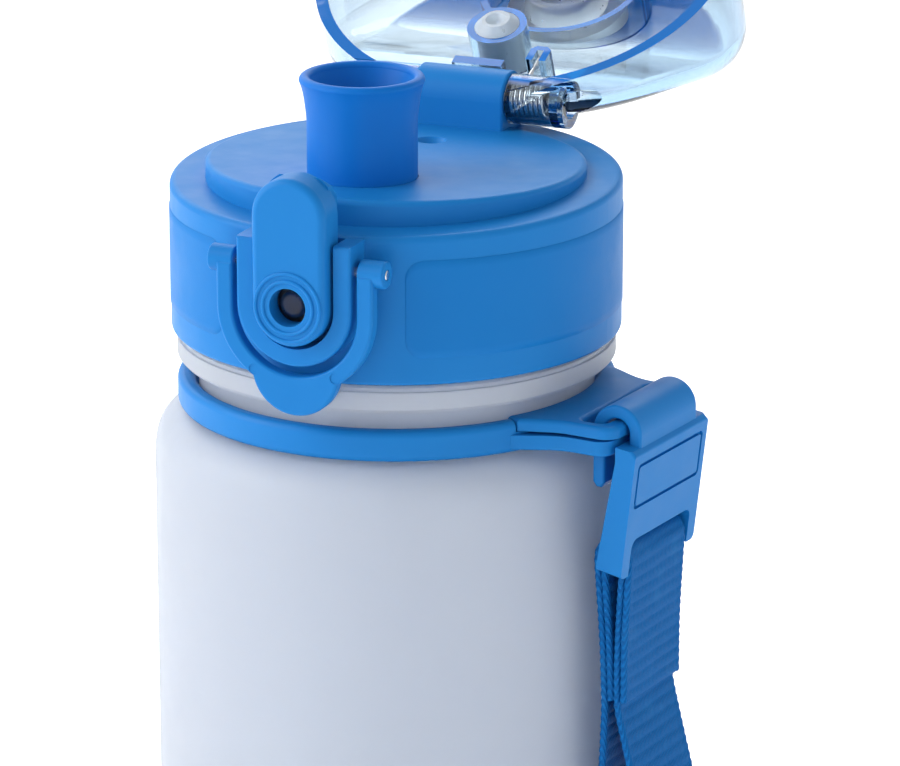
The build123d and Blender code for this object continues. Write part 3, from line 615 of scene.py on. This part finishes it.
def stitch_runs():
    """The seam's straight runs, as (along, across) at both ends."""
    top = strip.length - (STACK_TOP - STACK_LOW) + BOX_TOP
    low = strip.length - BOX_LOW
    half = WEB_HALF - BOX_SIDE
    corners = [(top, -half), (top, half), (low, half), (low, -half)]
    runs = list(zip(corners, corners[1:] + corners[:1]))
    return runs + [(corners[0], corners[2]), (corners[1], corners[3])]


def stitches():
    """Every stitch is a short arched tube that dips into the weave at both ends."""
    points, faces = [], []
    sides, bends = 6, 6
    surface = -WEB_THICK / 2 - WEAVE_PROUD
    for start, stop in stitch_runs():
        start, stop = Vector(start), Vector(stop)
        span = (stop - start).length
        count = max(1, round(span / (STITCH + STITCH_GAP)))
        way = (stop - start) / span
        cross = Vector((-way.y, way.x))
        pitch = span / count
        for i in range(count):
            first = start + way * (pitch * i + STITCH_GAP / 2)
            long = pitch - STITCH_GAP
            base = len(points)
            for k in range(bends + 1):
                t = k / bends
                arch = math.sin(math.pi * t)
                thick = THREAD_R * (0.45 + 0.55 * arch)
                spot = first + way * (long * t)
                depth = surface + THREAD_SUNK - THREAD_ARCH * arch
                for s in range(sides):
                    a = 2 * math.pi * s / sides
                    p = spot + cross * (thick * math.cos(a))
                    points.append(strip.place(p.x, p.y, depth + thick * 0.7 * math.sin(a)))
            faces += bands(base, bends + 1, sides) + caps(base, bends + 1, sides)
    thread = sewing_thread().material
    piece("webbing_stitching", points, faces, thread, "strap")


stitches()

# ---- Studio: pale floor, soft lights, long lens ----
VIEW_TURN, VIEW_DROP = math.radians(22.5), math.radians(17)
RIGHT = Vector((math.cos(VIEW_TURN), math.sin(VIEW_TURN), 0))
AWAY = Vector((-math.sin(VIEW_TURN), math.cos(VIEW_TURN), 0))
UP = Vector((0, 0, 1))
LOOK_AT = RIGHT * 8.05 * MM + UP * (CAP_Z - 9.84 * MM)
DISTANCE = 759.3 * MM
LENS, SENSOR = 200, 36
NEAR, FAR = 0.05, 20
FLOOR_SIZE, FLOOR_STEPS = 6.0, 24
SKY_COLOUR = (0.97, 0.985, 1.0)
SKY_LOW, SKY_HIGH = 0.02, 0.4                  # height of direction where the sky starts and ends dimming
SKY_BRIGHT, SKY_DIM = 1.0, 0.52                # strength at the horizon and overhead
BOUNCES = 24                                   # enough for light through the clear cover's walls
SOFTBOXES = {                                  # right, away, up; size; watts; seen in reflections
    "key": ((-0.95, -0.15, 0.5), (0.8, 0.9), 10.4, True),
    "fill": ((0.8, -0.6, 0.25), (0.8, 0.9), 1.5, False),
    "top": ((-0.15, 0.8, 0.62), (1.4, 0.7), 7.6, True),
}


def aimed(name, data, place, way):
    """An object at place whose -Z looks along way."""
    made = placed(name, data)
    made.location = place
    made.rotation_mode = "QUATERNION"
    made.rotation_quaternion = way.to_track_quat("-Z", "Y")
    return made


def camera():
    """The photo's view, fitted to the cap's circles."""
    data = bpy.data.cameras.new("camera")
    data.lens, data.sensor_width = LENS, SENSOR
    data.clip_start, data.clip_end = NEAR, FAR
    ahead = AWAY * math.cos(VIEW_DROP) - UP * math.sin(VIEW_DROP)
    bpy.context.scene.camera = aimed("camera", data, LOOK_AT - ahead * DISTANCE, ahead)


def softbox(name, offset, size, watts, glossy):
    """A soft rectangular light, offset from the point looked at and aimed at the cap."""
    right, away, up = offset
    data = bpy.data.lights.new(name, "AREA")
    data.shape = "RECTANGLE"
    data.size, data.size_y = size
    data.energy = watts
    place = LOOK_AT + RIGHT * right + AWAY * away + UP * up
    aimed(name, data, place, Vector((0, 0, CAP_Z)) - place).visible_glossy = glossy


def floor():
    """A wide flat floor at z = 0."""
    steps = [FLOOR_SIZE * (i / FLOOR_STEPS - 0.5) for i in range(FLOOR_STEPS + 1)]
    points = [(x, y, 0) for y in steps for x in steps]
    mesh = bpy.data.meshes.new("floor")
    mesh.from_pydata(points, [], bands(0, len(steps), len(steps), closed=False))
    mesh.materials.append(studio_floor().material)
    placed("floor", mesh)


def world():
    """Sky light that is bright at the horizon and dims overhead."""
    made = bpy.data.worlds.new("studio")
    made.use_nodes = True
    tree = made.node_tree
    sky = tree.nodes["Background"]
    split = tree.nodes.new("ShaderNodeSeparateXYZ")
    direction = tree.nodes.new("ShaderNodeTexCoord").outputs["Generated"]
    tree.links.new(direction, split.inputs["Vector"])
    level = tree.nodes.new("ShaderNodeMapRange")
    level.interpolation_type = "SMOOTHSTEP"
    tree.links.new(split.outputs["Z"], level.inputs["Value"])
    fill_range(level, SKY_LOW, SKY_HIGH, SKY_BRIGHT, SKY_DIM)
    tree.links.new(level.outputs["Result"], sky.inputs["Strength"])
    sky.inputs["Color"].default_value = (*SKY_COLOUR, 1)
    bpy.context.scene.world = made


camera()
floor()
world()
for name, settings in SOFTBOXES.items():
    softbox(name, *settings)
view = bpy.context.scene.view_settings
view.view_transform, view.look, view.exposure = "Standard", "None", 0.0
cycles = bpy.context.scene.cycles
cycles.max_bounces = cycles.transmission_bounces = BOUNCES
